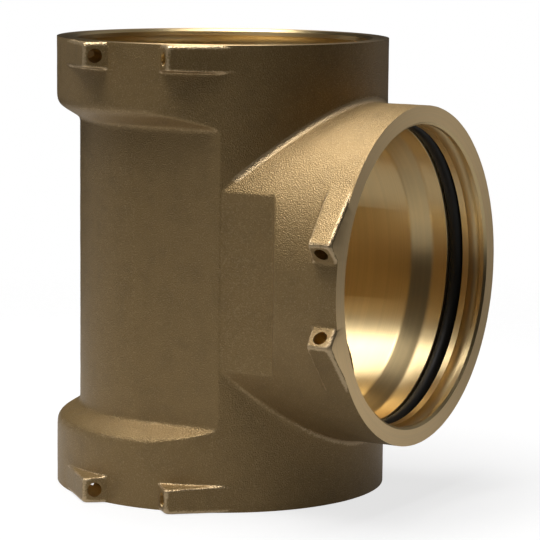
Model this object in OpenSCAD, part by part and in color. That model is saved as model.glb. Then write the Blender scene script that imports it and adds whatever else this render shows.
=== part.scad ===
// Modular pipe tee: one casting with three equal push-in sockets.
// The run stands along Z, the branch points along +X and the lock lugs face -Y.
// The origin is the point where the run axis and the branch axis cross.

/* [Body] */
// Distance from the crossing of the axes to the rim of each port
port_reach = 84.5; // [80:0.5:110]
// Bore of the waterway through the run and the branch
bore_d = 102; // [96:0.5:106]
// Wall of the casting at its relieved waist
waist_wall = 2.8; // [2:0.1:4]
// Wall of each collar, outside its socket
collar_wall = 7; // [6.5:0.1:12]

/* [Outer shoulder] */
// Length of each collar, from the rim to the start of the shoulder's slope
collar_length = 25.1; // [18:0.1:28]
// Length of the slope from the collar down to the waist
shoulder_length = 5.2; // [4.5:0.1:9]
// Rounding where the collar turns into the slope
shoulder_round = 5.4; // [3:0.1:6]
// Cast fillet where the slope meets the waist
shoulder_fillet = 3.2; // [1.5:0.1:4]

/* [Socket] */
// Bore of each socket, a little over the pipe that it takes
socket_d = 111; // [108:0.1:114]
// Depth of the straight bore, from the rim to the inner shoulder
socket_depth = 22.7; // [19:0.1:26]
// Length of the turned slope between the socket and the waterway
seat_length = 7.1; // [5:0.1:12]
// Rounding at both ends of that slope
seat_round = 3; // [1:0.1:4]
// Lead-in chamfer at the mouth
mouth_chamfer = 0.9; // [0.5:0.1:2]

/* [Lock groove] */
// Depth of the round lock groove's middle below the rim
lock_depth = 4.9; // [4.6:0.1:6]
// Diameter of the round lock groove
lock_groove_d = 5.3; // [4:0.1:6]
// How far the groove's middle lies outside the socket's wall
lock_groove_inset = 1; // [0.5:0.1:1.8]

/* [O-ring] */
// Depth of the O-ring groove's outer wall below the rim
oring_depth = 10; // [9.2:0.1:11]
// Thickness of the O-ring's cord
oring_cord = 5.5; // [4:0.1:6]
// How far the O-ring stands into the socket
oring_proud = 0.8; // [0.5:0.1:1.5]
// Free width on each side of the O-ring in its groove
oring_side_play = 0.5; // [0.2:0.1:0.8]
// Free gap between the O-ring and the floor of its groove
oring_floor_gap = 0.1; // [0.05:0.05:0.3]

/* [Lock lugs] */
// Length of each lug along its port's axis, from the rim
lug_length = 9.3; // [8.8:0.1:12]
// Turn of each lug's outer flat away from the front
lug_turn = 41.5; // [38:0.5:44]
// Turn of each lug's outer corner away from the front
lug_corner_turn = 14.8; // [14:0.2:18]
// Turn of the foot of each lug's end face away from the front
lug_foot_turn = 10.2; // [9.6:0.2:12]
// How far the lug's flat cuts below the collar's round
lug_flat_cut = 0.2; // [0.1:0.1:0.8]
// Rounding of the lug's outer corner
lug_round = 1.6; // [0.5:0.1:2.5]
// Diameter of the hole drilled along each lug into the lock groove
lug_hole_d = 5.2; // [3.5:0.1:5.6]
// How far the hole's line lies outside the middle of the lock groove
lug_hole_offset = 1.5; // [0.8:0.1:1.7]

/* [Hidden] */
$fn = 144;

socket_r = socket_d / 2;
bore_r = bore_d / 2;
collar_r = socket_r + collar_wall;
waist_r = bore_r + waist_wall;
lock_groove_r = lock_groove_d / 2;
lock_ring_r = socket_r + lock_groove_inset;
oring_groove_width = oring_cord + 2 * oring_side_play;
oring_floor_r = socket_r - oring_proud + oring_cord + oring_floor_gap;
oring_ring_r = socket_r - oring_proud + oring_cord / 2;
lug_flat_r = collar_r - lug_flat_cut;
lug_corner_r = lug_flat_r / cos(lug_turn - lug_corner_turn);
lug_hole_line_r = lock_ring_r + lug_hole_offset;
lug_root_r = (socket_r + collar_r) / 2;

// How far cutting shapes run past the faces that they open
past = 1;
// Steps in each rounded corner of an outline
arc_steps = 6;

bronze = [0.50, 0.41, 0.27];
rubber = [0.07, 0.07, 0.07];

function unit(v) = v / norm(v);

// Points of the arc of radius r that rounds the corner b between a and c
function corner_arc(a, b, c, r) =
    let (
        u = unit(a - b),
        v = unit(c - b),
        half = acos(u * v) / 2,
        middle = b + unit(u + v) * r / sin(half),
        start = b + u * r / tan(half) - middle,
        side = start - (start * unit(u + v)) * unit(u + v),
        away = -unit(u + v),
        sweep = 90 - half
    )
    [for (i = [0 : arc_steps])
        let (t = sweep * (1 - 2 * i / arc_steps))
        middle + r * (cos(t) * away + sin(t) * unit(side))];

// Outline from corners [x, y, radius], where a radius of 0 leaves the corner sharp
function rounded(corners) =
    let (n = len(corners), at = [for (p = corners) [p.x, p.y]])
    [for (i = [0 : n - 1])
        each corners[i][2] > 0
            ? corner_arc(at[(i + n - 1) % n], at[i], at[(i + 1) % n], corners[i][2])
            : [at[i]]];

// Moves a shape made with its rim at z = 0, its depth along -Z and its lugs at -Y to one port
module at_top() {
    translate([0, 0, port_reach]) children();
}

module at_bottom() {
    mirror([0, 0, 1]) at_top() children();
}

module at_branch() {
    rotate([0, 90, 0]) at_top() children();
}

module at_all_ports() {
    at_top() children();
    at_bottom() children();
    at_branch() children();
}

// Half outline of the casting from its middle to a rim: x is the half width, y the reach
function reach_outline() =
    let (
        slope_top = port_reach - collar_length,
        slope_foot = slope_top - shoulder_length
    )
    rounded([
        [0, 0, 0],
        [waist_r, 0, 0],
        [waist_r, slope_foot, shoulder_fillet],
        [collar_r, slope_top, shoulder_round],
        [collar_r, port_reach, 0],
        [0, port_reach, 0]
    ]);

// The relieved outline on both sides of the axis, as a slab that runs the given way
module relief_slab(length) {
    linear_extrude(height = length) {
        polygon(reach_outline());
        mirror([1, 0]) polygon(reach_outline());
    }
}

// Upper half of the run: turned waist at the back, barrel with two flats at the front
module half_run() {
    intersection() {
        rotate_extrude() polygon(reach_outline());
        translate([-2 * collar_r, -collar_r, 0])
            cube([2 * collar_r, 2 * collar_r, port_reach]);
    }
    intersection() {
        cylinder(r = collar_r, h = port_reach);
        rotate([90, 0, 90]) relief_slab(collar_r);
    }
}

module run_form() {
    half_run();
    mirror([0, 0, 1]) half_run();
}

// Branch: a barrel of the collar's size, with the same two flats
module branch_form() {
    intersection() {
        rotate([0, 90, 0]) cylinder(r = collar_r, h = port_reach);
        translate([0, 0, -collar_r]) rotate([0, 0, -90]) relief_slab(2 * collar_r);
    }
}

function polar(r, turn) = [r * sin(turn), -r * cos(turn)];

// One lug: a flat near-tangent to the collar, an end face and a root inside the collar's wall
module lug() {
    corner = polar(lug_corner_r, lug_corner_turn);
    tip = polar(lug_flat_r, lug_turn);
    foot = polar(collar_r, lug_foot_turn);
    root_start = polar(lug_root_r, lug_foot_turn);
    root_end = polar(lug_root_r, lug_turn);
    translate([0, 0, -lug_length]) linear_extrude(height = lug_length)
        polygon(rounded([
            [corner.x, corner.y, lug_round],
            [tip.x, tip.y, 0],
            [root_end.x, root_end.y, 0],
            [root_start.x, root_start.y, 0],
            [foot.x, foot.y, 0]
        ]));
}

module lug_pair() {
    lug();
    mirror([1, 0, 0]) lug();
}

// Hole along a lug, from outside its end face to the point where it runs into the groove
module lug_hole() {
    rotate([0, 0, lug_turn]) translate([0, -lug_hole_line_r, -lock_depth])
        rotate([0, -90, 0]) cylinder(d = lug_hole_d, h = collar_r);
}

module lug_hole_pair() {
    lug_hole();
    mirror([1, 0, 0]) lug_hole();
}

// Everything turned inside one socket, down to the waterway
module socket_cut() {
    seat_top = -socket_depth;
    seat_foot = seat_top - seat_length;
    rotate_extrude() polygon(rounded([
        [0, past, 0],
        [socket_r + mouth_chamfer + past, past, 0],
        [socket_r, -mouth_chamfer, 0],
        [socket_r, seat_top, seat_round],
        [bore_r, seat_foot, seat_round],
        [bore_r, seat_foot - seat_round, 0],
        [0, seat_foot - seat_round, 0]
    ]));
    rotate_extrude() translate([lock_ring_r, -lock_depth]) circle(r = lock_groove_r, $fn = 48);
    translate([0, 0, -oring_depth - oring_groove_width])
        cylinder(r = oring_floor_r, h = oring_groove_width);
}

module waterway() {
    cylinder(r = bore_r, h = 2 * (port_reach - socket_depth - seat_length), center = true);
    rotate([0, 90, 0]) cylinder(r = bore_r, h = port_reach - socket_depth - seat_length);
}

module tee_body() {
    color(bronze) difference() {
        union() {
            run_form();
            branch_form();
            at_all_ports() lug_pair();
        }
        waterway();
        at_all_ports() socket_cut();
        at_all_ports() lug_hole_pair();
    }
}

module oring() {
    color(rubber) translate([0, 0, -oring_depth - oring_groove_width / 2])
        rotate_extrude() translate([oring_ring_r, 0]) circle(d = oring_cord, $fn = 48);
}

module top_oring() {
    at_top() oring();
}

module bottom_oring() {
    at_bottom() oring();
}

module branch_oring() {
    at_branch() oring();
}

tee_body();
top_oring();
bottom_oring();
branch_oring();
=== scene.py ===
"""A modular pipe tee: one bronze casting with three turned sockets and their rubber rings."""

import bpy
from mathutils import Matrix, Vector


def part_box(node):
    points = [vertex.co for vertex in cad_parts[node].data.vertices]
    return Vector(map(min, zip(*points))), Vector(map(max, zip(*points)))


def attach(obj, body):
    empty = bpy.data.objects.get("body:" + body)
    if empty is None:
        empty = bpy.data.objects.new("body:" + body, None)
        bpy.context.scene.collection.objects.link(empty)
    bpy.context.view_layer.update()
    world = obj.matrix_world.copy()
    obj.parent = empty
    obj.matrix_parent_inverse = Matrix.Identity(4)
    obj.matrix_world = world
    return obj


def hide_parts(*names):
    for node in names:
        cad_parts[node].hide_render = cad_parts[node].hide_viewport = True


bl_info = {
    "name": "Bronze Modular Tee",
    "version": (1, 0, 0),
    "blender": (4, 5, 0),
    "location": "3D View > Sidebar > Tee",
    "description": "Makes a cast bronze pipe tee with three turned sockets and their O-rings",
    "category": "Object",
}

import math

import bpy
import numpy as np
from bpy.props import FloatProperty, FloatVectorProperty, PointerProperty
from mathutils import Matrix, Vector

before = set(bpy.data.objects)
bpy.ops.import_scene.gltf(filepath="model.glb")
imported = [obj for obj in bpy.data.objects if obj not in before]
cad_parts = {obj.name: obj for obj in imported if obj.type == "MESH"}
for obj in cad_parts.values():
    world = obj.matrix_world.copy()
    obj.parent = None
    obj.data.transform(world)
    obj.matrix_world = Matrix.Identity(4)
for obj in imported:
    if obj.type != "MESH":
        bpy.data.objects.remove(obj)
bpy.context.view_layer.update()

MM = 0.001

# The frame gives the tee's reach and the radius of its collars
BODY_LOW, BODY_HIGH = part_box("tee_body")
PORT_REACH = BODY_HIGH.z
COLLAR_RADIUS = BODY_HIGH.y

# Outside of the casting, in metres
WAIST_RADIUS = 53.8 * MM
COLLAR_LENGTH = 25.1 * MM
SHOULDER_LENGTH = 5.2 * MM
# How far the branch's flats lie below the run's, which shows as a fine line beside the pad
BRANCH_FLAT_STEP = 0.3 * MM

# Turned inside of each port: every depth is measured from the rim
BORE_RADIUS = 51 * MM
SOCKET_RADIUS = 55.5 * MM
SOCKET_DEPTH = 22.7 * MM
SEAT_LENGTH = 7.1 * MM
SEAT_ROUNDING = 3 * MM
MOUTH_CHAMFER = 0.9 * MM
LOCK_DEPTH = 4.9 * MM
LOCK_GROOVE_RADIUS = 2.65 * MM
LOCK_RING_RADIUS = 56.5 * MM
ORING_GROOVE_DEPTH = 10 * MM
ORING_GROOVE_WIDTH = 6.5 * MM
ORING_FLOOR_RADIUS = 60.3 * MM
GROOVE_LIP = 0.18 * MM
GROOVE_CORNER = 0.5 * MM
ORING_RING_RADIUS = 57.45 * MM
ORING_CORD_RADIUS = 2.75 * MM

# Lock lugs, seen along their port's axis, with the turns measured from the front
LUG_LENGTH = 9.3 * MM
LUG_TURN = math.radians(41.5)
LUG_FLAT_RADIUS = 62.3 * MM
LUG_CORNER_RADIUS = 69.74 * MM
LUG_CORNER_TURN = math.radians(14.8)
LUG_FOOT_TURN = math.radians(10.2)
LUG_HOLE_RADIUS = 2.6 * MM
LUG_HOLE_LINE = 58 * MM

# How far the casting and its cutters run past the faced rims
FACING_STOCK = 3 * MM
FACING_OVERRUN = 2 * MM
FACING_RADIUS = 76 * MM
BRANCH_CUT_START = 1 * MM

# How finely each round is divided
TURNED_SEGMENTS = 288
HOLE_SEGMENTS = 48
CORD_SEGMENTS = 40
ARC_STEPS = 6
GROOVE_STEPS = 14
SHARP_ANGLE = math.radians(28)

# Sizes of the casting, as its property group names them, that its form reads
FORM_SIZES = (
    "shoulder_blend", "fillet_blend", "edge_blend", "crease_radius", "lug_blend",
    "lug_foot_radius", "unevenness",
)
# How deep under the skin it is tested for edges, which are rubbed and get a painted highlight
PROBE_DEPTH = 0.7 * MM
# Attribute of the casting that its material reads, for rubbed edges and their painted highlight
WEAR_AND_HIGHLIGHT = "edge_wear"

# Material slots of the body, in the order that the cutters share
CAST, TURNED, FACED, DRILLED = range(4)
# Roughness and depth of the tool marks of each machined finish
MACHINED = {
    "turned_bronze": (0.34, 0.004 * MM), "faced_bronze": (0.33, 0.012 * MM),
    "drilled_bronze": (0.3, 0.01 * MM),
}

# Soft white panels that the metal mirrors: azimuth and elevation in degrees, brightness, focus
PANELS = [
    (0, 0, 0.1, 8.0), (0, 45, 0.15, 8.0), (150, -7, 0.5, 40.0), (172, -8, 0.3, 50.0),
    (180, 45, 0.3, 8.0), (315, 0, 0.13, 8.0),
]
# Soft lamps: azimuth and elevation in degrees, and the side of the square
LAMPS = {
    "key": (325, 70, 0.5), "front": (335, 55, 0.6), "top": (330, 79, 0.6),
    "back": (215, 79, 0.5), "side": (270, 5, 0.5),
}
LAMP_DISTANCE = 1.0
MOST_POWER = 200.0

# The camera's direction from the object and its roll, in degrees, and its place in metres
CAMERA_AZIMUTH, CAMERA_ELEVATION, CAMERA_ROLL = 30.398, 7.906, -0.5371
CAMERA_DISTANCE = 1.0366
CAMERA_ASIDE, CAMERA_DROP = 0.01844, 0.00413
CAMERA_NEAREST, CAMERA_FARTHEST = 0.05, 20.0

# Half the floor's side, and the distances between which it fades into the surroundings
FLOOR_HALF = 1.5
FLOOR_FADE = (0.22, 0.6)
FLOOR_GREY = 0.32
WHITE = (1.0, 1.0, 1.0, 1.0)


class Term:
    """A value in a node tree that adds and multiplies like a plain number."""

    def __init__(self, wiring, socket):
        self.wiring = wiring
        self.socket = socket

    def __add__(self, other):
        return self.wiring.math("ADD", self, other)

    def __sub__(self, other):
        return self.wiring.math("SUBTRACT", self, other)

    def __rsub__(self, other):
        return self.wiring.math("SUBTRACT", other, self)

    def __mul__(self, other):
        return self.wiring.math("MULTIPLY", self, other)

    def __truediv__(self, other):
        return self.wiring.math("DIVIDE", self, other)

    def __neg__(self):
        return self.wiring.math("MULTIPLY", self, -1.0)

    def __abs__(self):
        return self.wiring.math("ABSOLUTE", self)

    def clamped(self):
        """The value held between 0 and 1."""
        made = self.wiring.math("ADD", self, 0.0)
        made.socket.node.use_clamp = True
        return made


def label_of(name):
    """The label of the socket for a named value."""
    return name.replace("_", " ").title()


class Wiring:
    """Lays nodes in a tree and links them."""

    def __init__(self, tree):
        self.tree = tree
        self.inputs = None
        self.end = None

    def node(self, kind, fed=None, **settings):
        """A new node with its settings, and its inputs fed by name or by number."""
        made = self.tree.nodes.new(kind)
        for name, value in settings.items():
            setattr(made, name, value)
        return self.fed(made, fed or {})

    def fed(self, node, values):
        """Links a node's inputs to terms or other sockets, or sets their plain values."""
        for key, value in values.items():
            if isinstance(value, Term):
                value = value.socket
            if isinstance(value, bpy.types.NodeSocket):
                self.tree.links.new(value, node.inputs[key])
            else:
                node.inputs[key].default_value = value
        return node

    def term(self, socket):
        return Term(self, socket)

    def math(self, operation, *values):
        made = self.node("ShaderNodeMath", dict(enumerate(values)), operation=operation)
        return Term(self, made.outputs[0])

    def vector(self, operation, *values):
        """A vector step, which gives a vector socket, or a term where its result is a number."""
        made = self.node("ShaderNodeVectorMath", dict(enumerate(values)), operation=operation)
        if operation in ("DOT_PRODUCT", "LENGTH"):
            return Term(self, made.outputs["Value"])
        return made.outputs["Vector"]

    def scaled(self, vector, factor):
        fed = {0: vector, "Scale": factor}
        return self.node("ShaderNodeVectorMath", fed, operation="SCALE").outputs["Vector"]

    def split(self, vector):
        return [Term(self, out) for out in self.node("ShaderNodeSeparateXYZ", {0: vector}).outputs]

    def joined(self, *parts):
        return self.node("ShaderNodeCombineXYZ", dict(enumerate(parts))).outputs[0]

    def hypot(self, a, b):
        return self.math("SQRT", a * a + b * b)

    def least(self, a, b, blend=None):
        if blend is None:
            return self.math("MINIMUM", a, b)
        return self.math("SMOOTH_MIN", a, b, blend)

    def most(self, a, b, blend=None):
        if blend is None:
            return self.math("MAXIMUM", a, b)
        return self.math("SMOOTH_MAX", a, b, blend)

    def ramp(self, value, low, high):
        """0 at low, 1 at high, held outside them and eased between."""
        fed = {"Value": value, "From Min": low, "From Max": high}
        made = self.node("ShaderNodeMapRange", fed, interpolation_type="SMOOTHSTEP")
        return Term(self, made.outputs["Result"])

    def noise(self, place, scale, detail=2.0, roughness=0.5, dimensions="3D"):
        where = "W" if dimensions == "1D" else "Vector"
        fed = {where: place, "Scale": scale, "Detail": detail, "Roughness": roughness}
        made = self.node("ShaderNodeTexNoise", fed, noise_dimensions=dimensions)
        return Term(self, made.outputs["Fac"])

    def mixed(self, share, first, second):
        """A colour between two colours."""
        fed = {"Factor": share, "A": first, "B": second}
        return self.node("ShaderNodeMix", fed, data_type="RGBA").outputs["Result"]

    def group(self, tree, **values):
        """A node group with its inputs set by name."""
        kind = "ShaderNodeGroup" if self.tree.type == "SHADER" else "GeometryNodeGroup"
        fed = {label_of(name): value for name, value in values.items()}
        return self.node(kind, fed, node_tree=tree)


def new_tree(name, kind, inputs, outputs):
    """A node tree with named sockets, given as (name, socket type, default)."""
    tree = bpy.data.node_groups.new(name, kind)
    for label, socket_type, default in inputs:
        made = tree.interface.new_socket(label, in_out="INPUT", socket_type=socket_type)
        if default is not None:
            made.default_value = default
    for label, socket_type in outputs:
        tree.interface.new_socket(label, in_out="OUTPUT", socket_type=socket_type)
    wiring = Wiring(tree)
    wiring.inputs = wiring.node("NodeGroupInput").outputs
    wiring.end = wiring.node("NodeGroupOutput")
    return tree, wiring


def length_setting(name, description, default, low, high):
    """A length that a user may change."""
    return FloatProperty(
        name=name, description=description, default=default, min=low, max=high,
        precision=5, unit="LENGTH",
    )


def colour_setting(name, description, default):
    """A colour that a user may change."""
    return FloatVectorProperty(
        name=name, description=description, default=default, min=0.0, max=1.0, subtype="COLOR",
    )


def power_setting(name, description, default):
    """The power of a lamp that a user may change."""
    return FloatProperty(
        name=name, description=description, default=default, min=0.0, max=MOST_POWER,
        unit="POWER",
    )


class TeeCastSizes(bpy.types.PropertyGroup):
    """Sizes of the casting's outside."""

    surface_step: length_setting(
        "Surface Step", "Distance between the samples that the cast surface is drawn through",
        0.65 * MM, 0.5 * MM, 3 * MM,
    )
    triangle_share: FloatProperty(
        name="Triangle Share",
        description="Share of the cast surface's triangles that is kept, most of them on edges",
        default=0.15, min=0.02, max=1.0, subtype="FACTOR",
    )
    crease_radius: length_setting(
        "Crease Radius", "Radius of the fillet in the creases between the run and the branch",
        3.2 * MM, 0.2 * MM, 5 * MM,
    )
    shoulder_blend: length_setting(
        "Shoulder Blend", "Width of the blend where a collar turns into its shoulder",
        4.2 * MM, 0.5 * MM, 6 * MM,
    )
    fillet_blend: length_setting(
        "Fillet Blend", "Width of the blend where a shoulder meets the waist",
        2.5 * MM, 0.5 * MM, 6 * MM,
    )
    edge_blend: length_setting(
        "Edge Blend", "Width of the rounding along the edges of the flats",
        0.4 * MM, 0.1 * MM, 3 * MM,
    )
    lug_blend: length_setting(
        "Lug Blend", "Width of the rounding along the edges of the lugs",
        1.3 * MM, 0.3 * MM, 4 * MM,
    )
    lug_foot_radius: length_setting(
        "Lug Foot Radius", "Radius of the fillet where a lug meets its collar",
        0.8 * MM, 0.1 * MM, 3 * MM,
    )
    unevenness: length_setting(
        "Unevenness", "How far the cast skin wanders from its true form",
        0.1 * MM, 0.0, 0.5 * MM,
    )


class TeeFinish(bpy.types.PropertyGroup):
    """Colours and finish of the bronze and the rubber."""

    skin_colour: colour_setting(
        "Skin Colour", "Colour of the sand-cast skin", (0.42, 0.274, 0.11),
    )
    skin_dark: colour_setting(
        "Dark Skin Colour", "Colour of the skin's darker clouds", (0.34, 0.223, 0.09),
    )
    # Worn colour paints the rubbed edges and light specks, and also the painted highlight on edges
    # and creases
    worn_and_highlight_colour: colour_setting(
        "Worn Colour", "Colour of the skin's rubbed edges and light specks", (0.84, 0.63, 0.37),
    )
    turned_colour: colour_setting(
        "Turned Colour", "Colour of the turned and drilled bronze", (0.86, 0.66, 0.35),
    )
    faced_colour: colour_setting("Faced Colour", "Colour of the faced rims", (0.96, 0.70, 0.37))
    rubber_colour: colour_setting("Rubber Colour", "Colour of the O-rings", (0.013, 0.013, 0.0125))
    grain_size: length_setting(
        "Grain Size", "Size of the sand grain in the cast skin",
        0.22 * MM, 0.1 * MM, 3 * MM,
    )
    turning_pitch: length_setting(
        "Turning Pitch", "Distance between the marks of the turning tool",
        0.35 * MM, 0.05 * MM, 2 * MM,
    )


class TeeStageSettings(bpy.types.PropertyGroup):
    """Camera and light."""

    lens: FloatProperty(
        name="Lens", description="Focal length of the camera in millimetres",
        default=181.5, min=20.0, max=400.0,
    )
    key_power: power_setting("Key Power", "Power of the soft lamp high at the front left", 2.9)
    front_power: power_setting(
        "Front Power", "Power of the soft lamp lower at the front left", 0.9,
    )
    top_power: power_setting("Top Power", "Power of the soft lamp above the object's front", 4.3)
    back_power: power_setting("Back Power", "Power of the soft lamp above the object's back", 4.2)
    side_power: power_setting("Side Power", "Power of the low lamp at the left", 0.32)
    room_light: FloatProperty(
        name="Room Light", description="Brightness of the room round the object",
        default=0.006, min=0.0, max=2.0,
    )


def polar(radius, turn):
    """A point seen along a port's axis: how far across, and its place front to back."""
    return Vector((radius * math.sin(turn), -radius * math.cos(turn)))


def fillet_blend(w, radius, facing):
    """Width of the blend that rounds the edge between two faces with the given radius.

    facing is the cosine of the angle between the outward directions of the two faces.
    """
    half_angle_cosine = w.math("SQRT", (facing + 1.0) * 0.5)
    width_per_radius = 6.0
    return (1.0 - half_angle_cosine) * width_per_radius * radius


def relieved_barrel(w, radial, width, along, sizes, sunk=0.0):
    """Distance from a barrel whose sides are cut back to the waist between its collars."""
    slope = Vector((SHOULDER_LENGTH, -(COLLAR_RADIUS - WAIST_RADIUS))).normalized()
    slope_start = PORT_REACH - COLLAR_LENGTH
    shoulder = (width - COLLAR_RADIUS) * slope.x + (along - slope_start) * slope.y
    collar = w.most(width - COLLAR_RADIUS, shoulder, sizes["shoulder_blend"])
    relief = w.least(width - (WAIST_RADIUS - sunk), collar, sizes["fillet_blend"])
    # The flat's edge is softer beside the slope, and is gone where the collar is round
    slope_foot = slope_start - SHOULDER_LENGTH
    softer_from, softer_to = slope_foot - 3 * MM, slope_foot + 1 * MM
    gone_from, gone_to = slope_start - 1 * MM, slope_start + 2 * MM
    slope_softness = 1.4
    extra = w.ramp(along, softer_from, softer_to) * slope_softness
    kept = 1.0 - w.ramp(along, gone_from, gone_to)
    softness = sizes["edge_blend"] * (extra + 1.0) * kept
    return w.most(radial - COLLAR_RADIUS, relief, softness)


def lug_end_line():
    """Outward normal of a lug's end face, and the face's distance from the port's axis."""
    corner = polar(LUG_CORNER_RADIUS, LUG_CORNER_TURN)
    foot = polar(COLLAR_RADIUS, LUG_FOOT_TURN)
    along = (corner - foot).normalized()
    normal = Vector((along.y, -along.x))
    return normal, normal.dot(foot)


def lug_distance(w, across, y, depth, radial, sizes):
    """Distance from the pair of lugs at one rim, and how far a point is from the flat's end."""
    flat = across * math.sin(LUG_TURN) - y * math.cos(LUG_TURN) - LUG_FLAT_RADIUS
    normal, reach = lug_end_line()
    end = across * normal.x + y * normal.y - reach
    tail = across * math.cos(LUG_TURN) + y * math.sin(LUG_TURN)
    draft, rear_allowance = 0.12, 0.6 * MM
    rear = depth + (radial - COLLAR_RADIUS) * draft - (LUG_LENGTH + rear_allowance)
    top_rounding_height = 0.15 * MM
    top = -depth - top_rounding_height
    blend = sizes["lug_blend"]
    end_softness, top_softness = 1.8, 1.9
    sides = w.most(flat, end, blend * end_softness)
    sides = w.most(sides, rear, blend)
    sides = w.most(sides, top, blend * top_softness)
    return w.most(sides, tail), tail


def with_lugs(w, body, across, y, depth, radial, sizes):
    """The casting's distance with one rim's pair of lugs blended in."""
    lug, tail = lug_distance(w, across, y, depth, radial, sizes)
    facing = (across * math.sin(LUG_TURN) - y * math.cos(LUG_TURN)) / radial
    rear_start = LUG_LENGTH - 1.5 * MM
    below = w.ramp(depth, rear_start, LUG_LENGTH)
    # The fillet fades out towards the end where the flat runs into the collar
    fade_start, fade_run = 4 * MM, 8 * MM
    fade = ((tail + fade_start) * (-1 / fade_run)).clamped()
    blend = fillet_blend(w, sizes["lug_foot_radius"], facing * (1.0 - below))
    return w.least(body, lug, fade * blend)


def size_sockets(sizes):
    """Number sockets for the sizes that the form reads, with their present values."""
    return [(label_of(name), "NodeSocketFloat", getattr(sizes, name)) for name in FORM_SIZES]


def form_tree(sizes):
    """Node group that gives the signed distance from the casting's outside at a position."""
    tree, w = new_tree(
        "tee form", "GeometryNodeTree",
        [("Position", "NodeSocketVector", None)] + size_sockets(sizes),
        [("Distance", "NodeSocketFloat")],
    )
    given = {name: w.term(w.inputs[label_of(name)]) for name in FORM_SIZES}
    x, y, z = w.split(w.inputs["Position"])
    side, height = abs(y), abs(z)
    run_radial, branch_radial = w.hypot(x, y), w.hypot(y, z)
    back = w.least(x, 0.0)
    cast_reach = PORT_REACH + FACING_STOCK
    run = relieved_barrel(w, run_radial, w.hypot(back, y), height, given)
    run = w.most(run, height - cast_reach)
    # The branch's relief has crisper ends than the run's
    crispness = 0.3
    crisp = {name: given[name] * crispness for name in ("shoulder_blend", "fillet_blend")}
    crisp["edge_blend"] = given["edge_blend"]
    branch = relieved_barrel(w, branch_radial, side, x, crisp, BRANCH_FLAT_STEP)
    branch = w.most(w.most(branch, -x), x - cast_reach)
    # The creases' fillet ends where the flats begin
    facing = w.least(y * y * (1 / COLLAR_RADIUS ** 2), 1.0)
    crease_end, crease_full = WAIST_RADIUS - 0.1 * MM, WAIST_RADIUS - 1.5 * MM
    below_flat = w.ramp(side, crease_end, crease_full)
    body = w.least(run, branch, below_flat * fillet_blend(w, given["crease_radius"], facing))
    body = with_lugs(w, body, abs(x), y, PORT_REACH - height, run_radial, given)
    body = with_lugs(w, body, height, y, PORT_REACH - x, branch_radial, given)
    w.fed(w.end, {"Distance": uneven(w, body, given["unevenness"])})
    return tree


def uneven(w, body, height):
    """The form with slow and quick waves on its skin, which is set in a little for them."""
    slow_waves, quick_waves = 55.0, 260.0
    slow = w.noise(w.inputs["Position"], slow_waves, detail=1.0) - 0.5
    quick = w.noise(w.inputs["Position"], quick_waves, detail=1.0) - 0.5
    slow_share, inset = 2.0, 0.08 * MM
    return body + (slow * slow_share + quick) * height + inset


def skin_wiring(name, form, sizes, extra):
    """A tree on the casting's form, and its function for the distance at a position."""
    sockets = [("Geometry", "NodeSocketGeometry", None)] + size_sockets(sizes) + extra
    sockets += [("Material", "NodeSocketMaterial", None)]
    tree, w = new_tree(name, "GeometryNodeTree", sockets, [("Geometry", "NodeSocketGeometry")])

    def distance(place):
        given = {size: w.inputs[label_of(size)] for size in FORM_SIZES}
        return w.term(w.group(form, position=place, **given).outputs["Distance"])

    return tree, w, distance


def drawing_tree(form, sizes):
    """Tree that draws the casting's outside through an even grid of samples."""
    step = ("Surface Step", "NodeSocketFloat", sizes.surface_step)
    tree, w, distance = skin_wiring("cast skin", form, sizes, [step])
    margin = Vector((3 * MM,) * 3)
    lug_reach = LUG_CORNER_RADIUS * math.cos(LUG_CORNER_TURN)
    cast_reach = PORT_REACH + FACING_STOCK
    low = Vector((-COLLAR_RADIUS, -lug_reach, -cast_reach)) - margin
    high = Vector((cast_reach, COLLAR_RADIUS, cast_reach)) + margin
    place = w.node("GeometryNodeInputPosition").outputs[0]
    fed = {"Density": -distance(place), "Background": -1.0, "Min": low, "Max": high}
    for axis, span in zip("XYZ", high - low):
        samples = w.math("CEIL", w.math("DIVIDE", span, w.inputs["Surface Step"]))
        fed["Resolution " + axis] = samples
    cube = w.node("GeometryNodeVolumeCube", fed)
    fed = {"Volume": cube.outputs[0], "Threshold": 0.0}
    mesh = w.node("GeometryNodeVolumeToMesh", fed, resolution_mode="GRID")
    shape = settled(w, mesh.outputs[0], distance)
    w.fed(w.end, {"Geometry": finished(w, shape, w.inputs["Material"])})
    return tree


def finishing_tree(form, sizes):
    """Tree that settles the thinned skin on its form and stores how sharp its edges are, where
    they are rubbed and get a painted highlight.
    """
    depth = ("Probe Depth", "NodeSocketFloat", PROBE_DEPTH)
    tree, w, distance = skin_wiring("cast skin finish", form, sizes, [depth])
    shape = w.inputs["Geometry"]
    settling_steps = 2
    for _ in range(settling_steps):
        shape = settled(w, shape, distance)
    fed = {"Geometry": shape, "Name": WEAR_AND_HIGHLIGHT, "Value": edge_wear(w, distance)}
    kind = "GeometryNodeStoreNamedAttribute"
    worn = w.node(kind, fed, data_type="FLOAT", domain="POINT").outputs[0]
    w.fed(w.end, {"Geometry": finished(w, worn, w.inputs["Material"])})
    return tree


def skin_point(w):
    """The place and the outward direction of each point of the skin."""
    kinds = ("GeometryNodeInputPosition", "GeometryNodeInputNormal")
    return [w.node(kind).outputs[0] for kind in kinds]


def settled(w, shape, distance):
    """Moves each point along its normal onto the true surface."""
    place, normal = skin_point(w)
    fed = {"Geometry": shape, "Offset": w.scaled(normal, -distance(place))}
    return w.node("GeometryNodeSetPosition", fed).outputs[0]


def edge_wear(w, distance):
    """How near the skin is to a point just under it: 0 on a plane, and up to 1 on an edge."""
    place, normal = skin_point(w)
    depth = w.term(w.inputs["Probe Depth"])
    reached = distance(w.vector("ADD", place, w.scaled(normal, -depth)))
    return reached / depth + 1.0


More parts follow.
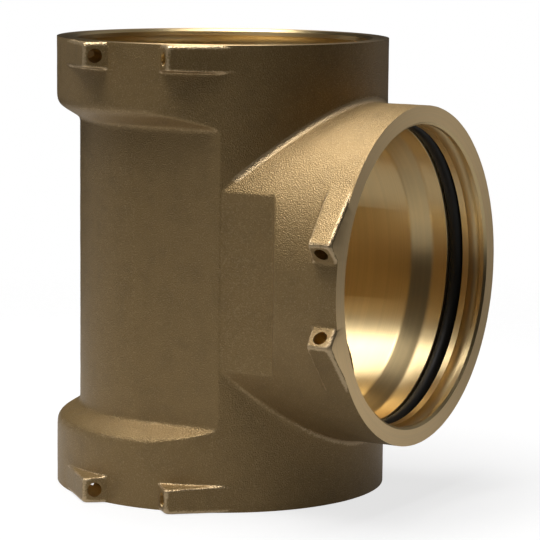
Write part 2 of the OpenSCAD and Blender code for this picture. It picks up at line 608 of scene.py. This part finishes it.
def finished(w, shape, material):
    """The last two steps of each tree: Realize Instances and Set Material."""
    real = w.node("GeometryNodeRealizeInstances", {0: shape}).outputs[0]
    fed = {"Geometry": real, "Material": material}
    return w.node("GeometryNodeSetMaterial", fed).outputs[0]


def link(thing):
    bpy.context.scene.collection.objects.link(thing)
    return thing


def new_holder(name):
    """A new object with an empty mesh."""
    return link(bpy.data.objects.new(name, bpy.data.meshes.new(name)))


def add_tree(holder, tree, values):
    """Adds a tree to an object as a modifier, with its inputs set by their identifiers."""
    modifier = holder.modifiers.new(tree.name, "NODES")
    modifier.node_group = tree
    for item in tree.interface.items_tree:
        if item.item_type == "SOCKET" and item.in_out == "INPUT" and item.name in values:
            modifier[item.identifier] = values[item.name]


def cast_skin(sizes, material):
    """The casting's closed outside: drawn finely, thinned where it is smooth, then settled."""
    values = {label_of(name): getattr(sizes, name) for name in (*FORM_SIZES, "surface_step")}
    values |= {"Probe Depth": PROBE_DEPTH, "Material": material}
    form = form_tree(sizes)
    holder = new_holder("cast_body")
    add_tree(holder, drawing_tree(form, sizes), values)
    thinning = holder.modifiers.new("thinning", "DECIMATE")
    thinning.ratio = sizes.triangle_share
    add_tree(holder, finishing_tree(form, sizes), values)
    bake_down(holder)
    return holder


def bake_down(thing):
    """Turns the object's evaluated shape into its plain mesh and takes its modifiers away."""
    graph = bpy.context.evaluated_depsgraph_get()
    graph.update()
    mesh = bpy.data.meshes.new_from_object(thing.evaluated_get(graph), depsgraph=graph)
    mesh.name = thing.name
    thing.modifiers.clear()
    old = thing.data
    thing.data = mesh
    bpy.data.meshes.remove(old)


def corner_arc(a, b, c, radius, steps=ARC_STEPS):
    """Points of the arc that rounds the corner b between a and c."""
    u, v = (a - b).normalized(), (c - b).normalized()
    half = u.angle(v) / 2
    middle = b + (u + v).normalized() * radius / math.sin(half)
    start = b + u * radius / math.tan(half) - middle
    end = b + v * radius / math.tan(half) - middle
    sweep = math.pi - 2 * half
    points = []
    for i in range(steps + 1):
        t = i / steps
        turn = start * math.sin((1 - t) * sweep) + end * math.sin(t * sweep)
        points.append(middle + turn / math.sin(sweep))
    return points


def rounded(corners):
    """An open outline from (radius, depth, rounding), with its inner corners rounded."""
    at = [Vector(c[:2]) for c in corners]
    line = []
    for i, (place, corner) in enumerate(zip(at, corners)):
        if corner[2] > 0:
            line += corner_arc(at[i - 1], place, at[i + 1], corner[2])
        else:
            line.append(place)
    return line


def lock_groove_line():
    """The round lock groove's outline, from its outer lip to its inner lip."""
    dip = LOCK_RING_RADIUS - SOCKET_RADIUS
    lip = math.acos(-dip / LOCK_GROOVE_RADIUS)
    line = []
    for i in range(GROOVE_STEPS + 1):
        turn = -lip + 2 * lip * i / GROOVE_STEPS
        line.append(Vector((
            LOCK_RING_RADIUS + LOCK_GROOVE_RADIUS * math.cos(turn),
            LOCK_DEPTH + LOCK_GROOVE_RADIUS * math.sin(turn),
        )))
    return line


def port_line():
    """Outline of everything cut at one port, as (radius, depth) from the rim to the waterway."""
    groove_end = ORING_GROOVE_DEPTH + ORING_GROOVE_WIDTH
    seat_end = SOCKET_DEPTH + SEAT_LENGTH
    mouth = rounded([
        (FACING_RADIUS, -FACING_STOCK - FACING_OVERRUN, 0),
        (FACING_RADIUS, 0, 0),
        (SOCKET_RADIUS + MOUTH_CHAMFER, 0, 0),
        (SOCKET_RADIUS, MOUTH_CHAMFER, 0),
    ])
    inner = rounded([
        (SOCKET_RADIUS, ORING_GROOVE_DEPTH - GROOVE_LIP, 0),
        (SOCKET_RADIUS + GROOVE_LIP, ORING_GROOVE_DEPTH, 0),
        (ORING_FLOOR_RADIUS, ORING_GROOVE_DEPTH, GROOVE_CORNER),
        (ORING_FLOOR_RADIUS, groove_end, GROOVE_CORNER),
        (SOCKET_RADIUS + GROOVE_LIP, groove_end, 0),
        (SOCKET_RADIUS, groove_end + GROOVE_LIP, 0),
        (SOCKET_RADIUS, SOCKET_DEPTH, SEAT_ROUNDING),
        (BORE_RADIUS, seat_end, SEAT_ROUNDING),
        (BORE_RADIUS, seat_end + SEAT_ROUNDING, 0),
    ])
    return mouth + lock_groove_line() + inner


def cutter(name, points, faces, finishes):
    """A closed shape to cut with, with the material slot of each face."""
    made = new_holder(name)
    made.data.from_pydata(points, [], faces)
    made.data.polygons.foreach_set("material_index", finishes)
    made.data.update()
    return made


def lathe(name, line, turn, finishes):
    """A closed turned shape from (radius, height) points, stood on the axis that turn gives."""
    angles = np.linspace(0, 2 * math.pi, TURNED_SEGMENTS, endpoint=False)
    rings = [
        np.stack([p.x * np.cos(angles), p.x * np.sin(angles), np.full_like(angles, p.y)], 1)
        for p in line
    ]
    points = np.concatenate(rings + [[[0, 0, line[0].y], [0, 0, line[-1].y]]])
    count = TURNED_SEGMENTS
    first, last = len(points) - 2, len(points) - 1
    faces, finish = [], []
    for i in range(count):
        j = (i + 1) % count
        for ring in range(len(line) - 1):
            a, b = ring * count, (ring + 1) * count
            faces.append((a + i, a + j, b + j, b + i))
            finish.append(finishes[ring])
        top = (len(line) - 1) * count
        faces += [(first, j, i), (last, top + i, top + j)]
        finish += [TURNED, TURNED]
    made = cutter(name, points.tolist(), faces, finish)
    made.data.transform(turn)
    return made


def line_finishes(line, rim):
    """The finish of each step of an outline: faced on the rim's plane, and turned elsewhere."""
    near = 1e-7
    return [
        FACED if abs(a.y - rim) < near and abs(b.y - rim) < near else TURNED
        for a, b in zip(line, line[1:])
    ]


def run_cutter():
    """Everything turned through the run, from facing cut to facing cut."""
    upper = [Vector((p.x, PORT_REACH - p.y)) for p in port_line()]
    lower = [Vector((p.x, -p.y)) for p in upper]
    line = lower + upper[::-1]
    half = line_finishes(lower, -PORT_REACH)
    finishes = half + [TURNED] + line_finishes(upper[::-1], PORT_REACH)
    return lathe("run_cutter", line, Matrix.Identity(4), finishes)


def branch_cutter():
    """Everything turned through the branch, from the run's middle to its facing cut."""
    outer = [Vector((p.x, PORT_REACH - p.y)) for p in port_line()][::-1]
    line = [Vector((BORE_RADIUS, BRANCH_CUT_START))] + outer
    turn = Matrix.Rotation(math.pi / 2, 4, "Y")
    return lathe("branch_cutter", line, turn, line_finishes(line, PORT_REACH))


def hole_cutter(name, port, side):
    """One lug's hole, from the lock groove out through the lug's end face."""
    start = polar(LUG_HOLE_LINE, LUG_TURN)
    way = Vector((-math.cos(LUG_TURN), -math.sin(LUG_TURN)))
    points, faces = [], []
    for along in (0.0, COLLAR_RADIUS):
        centre = start + way * along
        for i in range(HOLE_SEGMENTS):
            turn = 2 * math.pi * i / HOLE_SEGMENTS
            out = centre + Vector((way.y, -way.x)) * LUG_HOLE_RADIUS * math.cos(turn)
            points.append((side * out.x, out.y, LOCK_DEPTH + LUG_HOLE_RADIUS * math.sin(turn)))
    for i in range(HOLE_SEGMENTS):
        j = (i + 1) % HOLE_SEGMENTS
        faces.append((i, j, HOLE_SEGMENTS + j, HOLE_SEGMENTS + i))
    faces.append(tuple(range(HOLE_SEGMENTS))[::-1])
    faces.append(tuple(range(HOLE_SEGMENTS, 2 * HOLE_SEGMENTS)))
    return cutter(name, [port(*p) for p in points], faces, [DRILLED] * len(faces))


# Where each port puts a point that lies across, front to back and deep below the rim
PORTS = {
    "top": lambda across, y, depth: (across, y, PORT_REACH - depth),
    "bottom": lambda across, y, depth: (across, y, depth - PORT_REACH),
    "branch": lambda across, y, depth: (PORT_REACH - depth, y, across),
}


def faced_outwards(thing):
    """Turns a closed mesh's faces outwards."""
    mesh = thing.data
    corners = np.zeros(len(mesh.vertices) * 3)
    mesh.vertices.foreach_get("co", corners)
    corners = corners.reshape(-1, 3)
    mesh.calc_loop_triangles()
    tris = np.zeros(len(mesh.loop_triangles) * 3, int)
    mesh.loop_triangles.foreach_get("vertices", tris)
    a, b, c = (corners[tris.reshape(-1, 3)[:, i]] for i in range(3))
    if np.einsum("ij,ij->i", a, np.cross(b, c)).sum() < 0:
        mesh.flip_normals()


def cut(body, cutters):
    """Cuts the turned and drilled shapes out of the casting."""
    for tool in cutters:
        for material in body.data.materials:
            tool.data.materials.append(material)
        faced_outwards(tool)
        modifier = body.modifiers.new(tool.name, "BOOLEAN")
        modifier.operation = "DIFFERENCE"
        modifier.solver = "MANIFOLD"
        modifier.object = tool
    bake_down(body)
    for tool in cutters:
        mesh = tool.data
        bpy.data.objects.remove(tool)
        bpy.data.meshes.remove(mesh)


def smooth_with_sharp_edges(thing):
    thing.data.polygons.foreach_set("use_smooth", [True] * len(thing.data.polygons))
    thing.data.set_sharp_from_angle(angle=SHARP_ANGLE)


def scene_props():
    scene = bpy.context.scene
    return scene.tee_cast, scene.tee_finish, scene.tee_stage


def grain_group(finish):
    """Sand grain of a cast skin: its height, a mask of its light specks, and broad clouds."""
    tree, w = new_tree(
        "sand grain", "ShaderNodeTree",
        [
            ("Position", "NodeSocketVector", None),
            ("Grain Size", "NodeSocketFloat", finish.grain_size),
        ],
        [(label, "NodeSocketFloat") for label in ("Height", "Specks", "Clouds")],
    )
    place = w.inputs["Position"]
    grains = w.math("DIVIDE", 1.0, w.inputs["Grain Size"])
    coarse_rate, fine_rate, cloud_rate = 0.5, 1.1, 0.03
    coarse_height, fine_height = 0.7, 0.3
    speck_start, speck_full = 0.5, 0.72
    coarse = w.noise(place, grains * coarse_rate, detail=0.0, roughness=0.5)
    fine = w.noise(place, grains * fine_rate, detail=1.0, roughness=0.6)
    w.fed(w.end, {
        "Height": coarse * coarse_height + fine * fine_height,
        "Specks": w.ramp(coarse * 0.5 + fine * 0.5, speck_start, speck_full),
        "Clouds": w.noise(place, grains * cloud_rate, detail=4.0, roughness=0.65),
    })
    return tree


def wear_and_highlight_group():
    """A wear with a painted highlight, broken up by noise, as a mask from 0 at its start to 1
    where it is full.
    """
    labels = ("Wear", "Start", "Full", "Breakup")
    tree, w = new_tree(
        "edge wear", "ShaderNodeTree",
        [("Position", "NodeSocketVector", None)]
        + [(label, "NodeSocketFloat", None) for label in labels],
        [("Mask", "NodeSocketFloat")],
    )
    chips_in_a_metre = 1300.0
    rough = w.noise(w.inputs["Position"], chips_in_a_metre, detail=2.0, roughness=0.6) - 0.5
    broken = w.term(w.inputs["Wear"]) + rough * w.term(w.inputs["Breakup"])
    w.fed(w.end, {"Mask": w.ramp(broken, w.inputs["Start"], w.inputs["Full"])})
    return tree


def port_axis(w, place):
    """Direction of the axis that a point was turned about, and how far along it the point is."""
    x, _, z = w.split(place)
    in_branch = w.math("GREATER_THAN", x, abs(z))
    in_run = 1.0 - in_branch
    return w.joined(in_branch, 0.0, in_run), x * in_branch + z * in_run


def turning_group(finish):
    """Marks of the turning tool round the port's axis: a height and lighter and darker streaks."""
    tree, w = new_tree(
        "turning marks", "ShaderNodeTree",
        [
            ("Position", "NodeSocketVector", None),
            ("Pitch", "NodeSocketFloat", finish.turning_pitch),
        ],
        [("Height", "NodeSocketFloat"), ("Streaks", "NodeSocketFloat")],
    )
    place = w.inputs["Position"]
    axis, along = port_axis(w, place)
    radius = w.vector("LENGTH", w.vector("SUBTRACT", place, w.scaled(axis, along)))
    # One number that grows along the bores and over the faces alike
    radius_share, band_rate = 1.7, 0.12
    line = along + radius * radius_share
    marks_in_a_metre = w.math("DIVIDE", 1.0, w.inputs["Pitch"])
    drifts_in_a_metre, drift_width = 60.0, 0.06
    drift = w.noise(place, drifts_in_a_metre, detail=1.0) * drift_width * MM
    marks = w.noise(line + drift, marks_in_a_metre, 3.0, 0.7, "1D")
    bands = w.noise(line, marks_in_a_metre * band_rate, 3.0, 0.6, "1D")
    w.fed(w.end, {"Height": marks, "Streaks": marks * 0.5 + bands * 0.5})
    return tree


def across_marks(w, place):
    """Direction over the surface that crosses the marks of the turning tool."""
    normal = w.node("ShaderNodeNewGeometry").outputs["Normal"]
    axis, _ = port_axis(w, place)
    round_way = w.vector("CROSS_PRODUCT", axis, place)
    return w.vector("NORMALIZE", w.vector("CROSS_PRODUCT", normal, round_way))


def emptied(holder):
    """The wiring of a material's or a world's own tree, with no node left in it."""
    holder.use_nodes = True
    holder.node_tree.nodes.clear()
    return Wiring(holder.node_tree)


def show(w, shader, output="ShaderNodeOutputMaterial"):
    w.node(output, {"Surface": shader.outputs[0]})


def new_material(name):
    """A material with its wiring, its shader and the place on the object."""
    material = bpy.data.materials.new(name)
    w = emptied(material)
    shader = w.node("ShaderNodeBsdfPrincipled")
    show(w, shader)
    return material, w, shader, w.node("ShaderNodeTexCoord").outputs["Object"]


def bumps(w, height, depth):
    """The normal of a surface with bumps of the given depth."""
    return w.node("ShaderNodeBump", {"Height": height, "Distance": depth}).outputs[0]


def rgba(colour):
    return (*colour, 1.0)


def stored_wear_and_highlight(w):
    """The edge measure for wear and painted highlight that the casting's mesh carries."""
    made = w.node("ShaderNodeAttribute", attribute_name=WEAR_AND_HIGHLIGHT)
    return w.term(made.outputs["Fac"])


def crease_scrape_and_highlight_mask(w, place):
    """Mask of the narrow strip along the creases between the barrels: partly scraped clean, partly
    a painted highlight.
    """
    x, y, z = w.split(place)
    # The strip is wider and cleaner in the upper crease than in the lower one, and its painted
    # highlight is stronger there
    change_half = 5 * MM
    upper = w.ramp(z, -change_half, change_half)
    clean_half, faded_half, wider_clean, wider_faded = 0.8 * MM, 1.2 * MM, 0.6 * MM, 1.3 * MM
    clean, faded = upper * wider_clean + clean_half, upper * wider_faded + faded_half
    strip = 1.0 - w.ramp(abs(x - abs(z)), clean, faded)
    lower_strength = 0.5
    strength = upper * (1.0 - lower_strength) + lower_strength
    strip_end, past_strip = 50 * MM, 53 * MM
    return strip * strength * (1.0 - w.ramp(abs(y), strip_end, past_strip))


def rubbed_and_highlight_mask(w, place, wear):
    """Mask of the skin that is rubbed on edges, and a little less in the creases, painted bright
    as wear and highlight.
    """
    edges = w.group(wear, position=place, wear=stored_wear_and_highlight(w), start=0.12, full=0.26, breakup=0.3)
    # The crease strip is partly scraped metal and partly a painted highlight
    scraped = w.group(
        wear, position=place, wear=crease_scrape_and_highlight_mask(w, place), start=0.35, full=0.95, breakup=0.9,
    )
    crease_share = 0.8
    return w.most(w.term(edges.outputs["Mask"]), w.term(scraped.outputs["Mask"]) * crease_share)


def cast_bronze(finish, grain, wear):
    """The matte sand-cast skin, darker in its clouds, rubbed on its edges and painted bright there
    as a highlight.
    """
    material, w, shader, place = new_material("cast_bronze")
    sand = w.group(grain, position=place, grain_size=finish.grain_size)
    dark_below, light_above = 0.1, 0.6
    clouds = w.ramp(sand.outputs["Clouds"], dark_below, light_above)
    skin = w.mixed(clouds, rgba(finish.skin_dark), rgba(finish.skin_colour))
    speck_share, rubbed_and_highlight_share = 0.4, 0.85
    specks = w.term(sand.outputs["Specks"]) * speck_share
    skin = w.mixed(specks, skin, rgba(finish.worn_and_highlight_colour))
    # Edges and creases are rubbed and also carry a painted highlight in the worn colour
    rubbed = rubbed_and_highlight_mask(w, place, wear)
    skin = w.mixed(rubbed * rubbed_and_highlight_share, skin, rgba(finish.worn_and_highlight_colour))
    # The parting line runs where the two halves of the mould met
    y = w.split(place)[1]
    line_half, line_foot, line_height = 0.1 * MM, 0.5 * MM, 0.12
    parting = 1.0 - w.ramp(abs(y), line_half, line_foot)
    height = w.term(sand.outputs["Height"]) + parting * line_height
    skin_metallic, rubbed_metallic, grain_depth = 0.5, 0.3, 0.27 * MM
    skin_roughness, rubbed_polish, cloud_roughness = 0.37, 0.05, 0.03
    w.fed(shader, {
        "Base Color": skin,
        "Metallic": rubbed * rubbed_metallic + skin_metallic,
        "Roughness": skin_roughness - rubbed * rubbed_polish + clouds * cloud_roughness,
        "Normal": bumps(w, height, grain_depth),
    })
    return material


def machined_bronze(name, finish, turning, colour):
    """Bronze straight from the machine, with fine marks round the port's axis."""
    roughness, mark_depth = MACHINED[name]
    material, w, shader, place = new_material(name)
    marks = w.group(turning, position=place, pitch=finish.turning_pitch)
    dark_below, light_above = 0.3, 0.7
    streaks = w.ramp(marks.outputs["Streaks"], dark_below, light_above)
    darkening, streak_roughness = 0.9, 0.08
    dark = [part * darkening for part in colour]
    w.fed(shader, {
        "Base Color": w.mixed(streaks, rgba(dark), rgba(colour)),
        "Metallic": 1.0,
        "Roughness": streaks * streak_roughness + roughness,
        "Anisotropic": 0.85,
        "Tangent": across_marks(w, place),
        "Normal": bumps(w, marks.outputs["Height"], mark_depth),
    })
    return material


def black_rubber(finish, grain):
    """Moulded rubber with a satin skin."""
    material, w, shader, place = new_material("black_rubber")
    mould_grain, mould_grain_depth = 0.3 * MM, 0.02 * MM
    satin, cloud_roughness = 0.42, 0.1
    sand = w.group(grain, position=place, grain_size=mould_grain)
    w.fed(shader, {
        "Base Color": rgba(finish.rubber_colour),
        "Roughness": w.term(sand.outputs["Clouds"]) * cloud_roughness + satin,
        "Specular IOR Level": 0.35,
        "Normal": bumps(w, sand.outputs["Height"], mould_grain_depth),
    })
    return material


class TEE_OT_cast_body(bpy.types.Operator):
    """Make the casting, face its rims, turn its sockets and drill its lugs"""

    bl_idname = "tee.cast_body"
    bl_label = "Cast and Machine the Body"

    def execute(self, context):
        sizes, finish, _ = scene_props()
        grain, wear, turning = grain_group(finish), wear_and_highlight_group(), turning_group(finish)
        materials = [
            cast_bronze(finish, grain, wear),
            machined_bronze("turned_bronze", finish, turning, finish.turned_colour),
            machined_bronze("faced_bronze", finish, turning, finish.faced_colour),
            machined_bronze("drilled_bronze", finish, turning, finish.turned_colour),
        ]
        body = cast_skin(sizes, materials[CAST])
        body.data.materials.clear()
        for material in materials:
            body.data.materials.append(material)
        body.data.polygons.foreach_set("material_index", [CAST] * len(body.data.polygons))
        cutters = [run_cutter(), branch_cutter()]
        for label, port in PORTS.items():
            cutters += [hole_cutter(f"{label}_hole_{s}", port, s) for s in (-1, 1)]
        cut(body, cutters)
        smooth_with_sharp_edges(body)
        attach(body, "root")
        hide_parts("tee_body")
        return {"FINISHED"}


def oring_tree():
    """Tree that sweeps a round cord along a ring, then turns it and puts it in its place."""
    tree, w = new_tree(
        "o-ring", "GeometryNodeTree",
        [
            ("Geometry", "NodeSocketGeometry", None),
            ("Ring Radius", "NodeSocketFloat", ORING_RING_RADIUS),
            ("Cord Radius", "NodeSocketFloat", ORING_CORD_RADIUS),
            ("Turn", "NodeSocketVector", (0.0, 0.0, 0.0)),
            ("Place", "NodeSocketVector", (0.0, 0.0, 0.0)),
            ("Material", "NodeSocketMaterial", None),
        ],
        [("Geometry", "NodeSocketGeometry")],
    )
    ring, cord = [
        w.node("GeometryNodeCurvePrimitiveCircle", {"Resolution": steps, "Radius": radius})
        for steps, radius in (
            (TURNED_SEGMENTS, w.inputs["Ring Radius"]), (CORD_SEGMENTS, w.inputs["Cord Radius"]),
        )
    ]
    fed = {"Curve": ring.outputs["Curve"], "Profile Curve": cord.outputs["Curve"]}
    swept = w.node("GeometryNodeCurveToMesh", fed).outputs[0]
    fed = {"Geometry": swept, "Translation": w.inputs["Place"], "Rotation": w.inputs["Turn"]}
    placed = w.node("GeometryNodeTransform", fed).outputs[0]
    w.fed(w.end, {"Geometry": finished(w, placed, w.inputs["Material"])})
    return tree


class TEE_OT_orings(bpy.types.Operator):
    """Make the rubber O-ring of each port"""

    bl_idname = "tee.orings"
    bl_label = "Fit the O-Rings"

    def execute(self, context):
        _, finish, _ = scene_props()
        rubber = black_rubber(finish, bpy.data.node_groups["sand grain"])
        tree = oring_tree()
        depth = PORT_REACH - ORING_GROOVE_DEPTH - ORING_GROOVE_WIDTH / 2
        places = {
            "top": ((0.0, 0.0, 0.0), (0.0, 0.0, depth)),
            "bottom": ((0.0, 0.0, 0.0), (0.0, 0.0, -depth)),
            "branch": ((0.0, math.pi / 2, 0.0), (depth, 0.0, 0.0)),
        }
        for label, (turn, place) in places.items():
            values = {
                "Ring Radius": ORING_RING_RADIUS, "Cord Radius": ORING_CORD_RADIUS,
                "Turn": turn, "Place": place, "Material": rubber,
            }
            ring = new_holder(label + "_rubber_ring")
            add_tree(ring, tree, values)
            bake_down(ring)
            faced_outwards(ring)
            ring.data.polygons.foreach_set("use_smooth", [True] * len(ring.data.polygons))
            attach(ring, "root")
            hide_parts(label + "_oring")
        return {"FINISHED"}


def floor_glow(w, x):
    """The floor's glow: pale to the camera, and in metal a little brighter at the left."""
    camera, mirrored = ray_masks(w)
    seen_glow, right_glow, left_extra = 0.75, 0.17, 0.12
    right_end, left_start = 0.1, -0.06
    mirrored_glow = w.ramp(x, right_end, left_start) * left_extra + right_glow
    strength = camera * seen_glow + mirrored * mirrored_glow
    return w.node("ShaderNodeEmission", {"Color": WHITE, "Strength": strength}).outputs[0]


def floor_material():
    """Pale floor that is white to the eye, keeps the object's shadow and fades out around it."""
    material = bpy.data.materials.new("pale_floor")
    w = emptied(material)
    x, y, _ = w.split(w.node("ShaderNodeTexCoord").outputs["Object"])
    matte = w.node("ShaderNodeBsdfDiffuse", {"Color": rgba((FLOOR_GREY,) * 3)}).outputs[0]
    lit = w.node("ShaderNodeAddShader", {0: matte, 1: floor_glow(w, x)}).outputs[0]
    clear = w.node("ShaderNodeBsdfTransparent").outputs[0]
    fade = w.ramp(w.hypot(x, y), *FLOOR_FADE)
    show(w, w.node("ShaderNodeMixShader", {0: fade, 1: lit, 2: clear}))
    return material


def ray_masks(w):
    """Masks of the rays that the camera sees directly, and of those that metal mirrors."""
    path = w.node("ShaderNodeLightPath")
    rays = ("Is Camera Ray", "Is Glossy Ray", "Is Transmission Ray")
    camera, glossy, through = [w.term(path.outputs[ray]) for ray in rays]
    return camera, (glossy + through).clamped()


def area_lamp(name, place, size, power):
    """A soft square lamp that is turned to the object."""
    lamp = bpy.data.lights.new(name, "AREA")
    lamp.shape = "SQUARE"
    lamp.size = size
    lamp.energy = power
    holder = link(bpy.data.objects.new(name, lamp))
    holder.location = place
    holder.rotation_euler = (-place).to_track_quat("-Z", "Y").to_euler()


def direction(azimuth, elevation):
    """Unit vector from the object: azimuth 0 is the front and 90 the branch's side, in degrees."""
    azimuth, elevation = math.radians(azimuth), math.radians(elevation)
    flat = math.cos(elevation)
    return Vector((math.sin(azimuth) * flat, -math.cos(azimuth) * flat, math.sin(elevation)))


def studio_world(stage):
    """White to the camera. Bronze and rubber mirror soft panels, and the rest is a dim room."""
    world = bpy.data.worlds.new("studio")
    bpy.context.scene.world = world
    w = emptied(world)
    camera, mirrored = ray_masks(w)
    way = w.node("ShaderNodeTexCoord").outputs["Generated"]
    panels = 0.0
    for azimuth, elevation, brightness, focus in PANELS:
        near = w.most(w.vector("DOT_PRODUCT", way, direction(azimuth, elevation)), 0.0)
        panels = w.math("POWER", near, focus) * brightness + panels
    strength = (camera + mirrored * panels) + (1.0 - camera) * stage.room_light
    sky = w.node("ShaderNodeBackground", {"Color": WHITE, "Strength": strength})
    show(w, sky, "ShaderNodeOutputWorld")


def add_camera(stage):
    """The camera of the photograph's view, a little above the object and to its right."""
    back = direction(CAMERA_AZIMUTH, CAMERA_ELEVATION)
    azimuth, roll = math.radians(CAMERA_AZIMUTH), math.radians(CAMERA_ROLL)
    right = Vector((math.cos(azimuth), math.sin(azimuth), 0.0))
    up = back.cross(right)
    camera = link(bpy.data.objects.new("camera", bpy.data.cameras.new("camera")))
    camera.data.lens = stage.lens
    camera.data.clip_start, camera.data.clip_end = CAMERA_NEAREST, CAMERA_FARTHEST
    place = back * CAMERA_DISTANCE + right * CAMERA_ASIDE - up * CAMERA_DROP
    across = right * math.cos(roll) - up * math.sin(roll)
    upright = right * math.sin(roll) + up * math.cos(roll)
    turn = Matrix((across, upright, back)).transposed().to_4x4()
    camera.matrix_world = Matrix.Translation(place) @ turn
    bpy.context.scene.camera = camera


def add_floor():
    """A square floor under the lower rim."""
    half = FLOOR_HALF
    corners = [(-half, -half), (half, -half), (half, half), (-half, half)]
    floor = new_holder("floor")
    floor.data.from_pydata([(x, y, BODY_LOW.z) for x, y in corners], [], [(0, 1, 2, 3)])
    floor.data.materials.append(floor_material())


class TEE_OT_stage(bpy.types.Operator):
    """Set up the pale floor, the soft lamps, the white surroundings and the camera"""

    bl_idname = "tee.stage"
    bl_label = "Set the Stage"

    def execute(self, context):
        _, _, stage = scene_props()
        add_floor()
        for label, (azimuth, elevation, size) in LAMPS.items():
            power = getattr(stage, label + "_power")
            area_lamp(label + "_lamp", direction(azimuth, elevation) * LAMP_DISTANCE, size, power)
        studio_world(stage)
        add_camera(stage)
        bpy.context.scene.view_settings.view_transform = "Standard"
        return {"FINISHED"}


class TEE_PT_panel(bpy.types.Panel):
    """Sizes, finish and steps of the tee"""

    bl_label = "Modular Tee"
    bl_idname = "TEE_PT_panel"
    bl_space_type = "VIEW_3D"
    bl_region_type = "UI"
    bl_category = "Tee"

    def draw(self, context):
        layout = self.layout
        for group in scene_props():
            box = layout.box()
            for name in group.__annotations__:
                box.prop(group, name)
        for operator in OPERATORS:
            layout.operator(operator.bl_idname)


OPERATORS = (TEE_OT_cast_body, TEE_OT_orings, TEE_OT_stage)
GROUPS = {"tee_cast": TeeCastSizes, "tee_finish": TeeFinish, "tee_stage": TeeStageSettings}


def register():
    for cls in (*GROUPS.values(), *OPERATORS, TEE_PT_panel):
        bpy.utils.register_class(cls)
    for name, cls in GROUPS.items():
        setattr(bpy.types.Scene, name, PointerProperty(type=cls))


def unregister():
    for name in GROUPS:
        delattr(bpy.types.Scene, name)
    for cls in reversed((*GROUPS.values(), *OPERATORS, TEE_PT_panel)):
        bpy.utils.unregister_class(cls)


def main():
    register()
    bpy.ops.tee.cast_body()
    bpy.ops.tee.orings()
    bpy.ops.tee.stage()


if __name__ == "__main__":
    main()
